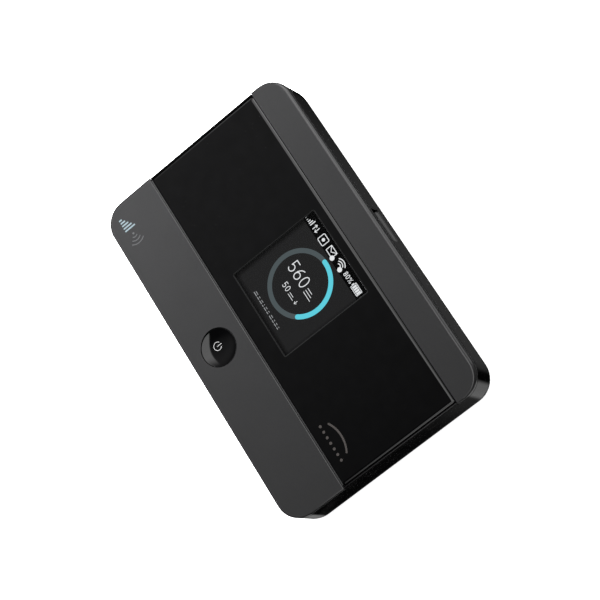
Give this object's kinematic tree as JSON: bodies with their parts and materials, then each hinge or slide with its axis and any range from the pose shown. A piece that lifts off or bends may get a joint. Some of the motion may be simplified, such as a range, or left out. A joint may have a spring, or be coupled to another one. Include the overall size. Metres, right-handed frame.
{
  "type": "mobile hotspot",
  "caption": "Pocket 4G hotspot with a glossy display strip, satin trim plates, dished power button, side key, removable battery and snap-off rear cover.",
  "frame": {"origin": "centre of the rear cover's flat face, on the surface the hotspot lies on", "axes": "+X along the long side, +Y towards the long side with the menu key, +Z out of the front face"},
  "size_m": [0.1062, 0.066, 0.0159],
  "materials": {
    "gloss_black": "polished black moulded plastic",
    "band_grey": "fine satin dark grey paint",
    "matte_black": "fine-textured black moulding",
    "clear_acrylic": "clear polished acrylic",
    "mask_black": "opaque black print",
    "panel_glass": "dark display glass",
    "foam_black": "closed-cell foam",
    "steel": "tinned sheet steel",
    "flex_amber": "polyimide film",
    "board_green": "solder-masked laminate",
    "chip_black": "moulded package",
    "copper": "gold-flashed copper sheet",
    "socket_black": "moulded connector plastic",
    "card_white": "card plastic",
    "battery_wrap": "printed battery wrap",
    "label_paper": "blank coated label"
  },
  "bodies": {
    "back": {"rear_cover": "matte_black"},
    "unit": {"front_housing": "gloss_black", "upper_band": "band_grey", "lower_band": "band_grey", "window_lens": "clear_acrylic", "lens_mask": "mask_black", "display_panel": "panel_glass", "display_gasket": "foam_black", "backlight_tray": "steel", "light_guide": "clear_acrylic", "display_flex": "flex_amber", "power_switch": "steel", "menu_switch": "steel", "reset_switch": "steel", "main_board": "board_green", "modem_shield_can": "steel", "wifi_shield_can": "steel", "memory_chip": "chip_black", "power_chip": "chip_black", "usb_shell": "steel", "usb_tongue": "socket_black", "main_antenna": "copper", "diversity_antenna": "copper", "wifi_antenna": "copper", "sim_socket": "steel", "sim_card": "card_white", "microsd_socket": "steel", "battery_connector": "socket_black", "inner_chassis": "matte_black", "chassis_screw_1": "steel", "chassis_screw_2": "steel", "chassis_screw_3": "steel", "chassis_screw_4": "steel", "board_screw_1": "steel", "board_screw_2": "steel", "rating_label": "label_paper"},
    "battery": {"battery_cell": "battery_wrap", "battery_end_cap": "socket_black"},
    "power": {"power_button": "gloss_black"},
    "menu": {"menu_key": "gloss_black"},
    "reset": {"reset_button": "matte_black"}
  },
  "joints": [
    {"name": "unit_lift", "type": "slide", "parent": "back", "child": "unit", "axis": [0, 0, 1], "range_m": [0, 0.024]},
    {"name": "battery_lift", "type": "slide", "parent": "back", "child": "battery", "axis": [0, 0, 1], "range_m": [0, 0.012]},
    {"name": "power_press", "type": "slide", "parent": "unit", "child": "power", "axis": [0, 0, -1], "range_m": [0, 0.0006], "stiffness_N_per_m": 800, "springref_m": -0.0005},
    {"name": "menu_press", "type": "slide", "parent": "unit", "child": "menu", "axis": [0, -1, 0], "range_m": [0, 0.0005], "stiffness_N_per_m": 800, "springref_m": -0.0005},
    {"name": "reset_press", "type": "slide", "parent": "unit", "child": "reset", "axis": [0, 0, 1], "range_m": [0, 0.0003], "stiffness_N_per_m": 800, "springref_m": -0.0005}
  ],
  "couplings": [
    {"joint": "battery_lift", "follows": "unit_lift", "ratio": 0.5}
  ]
}
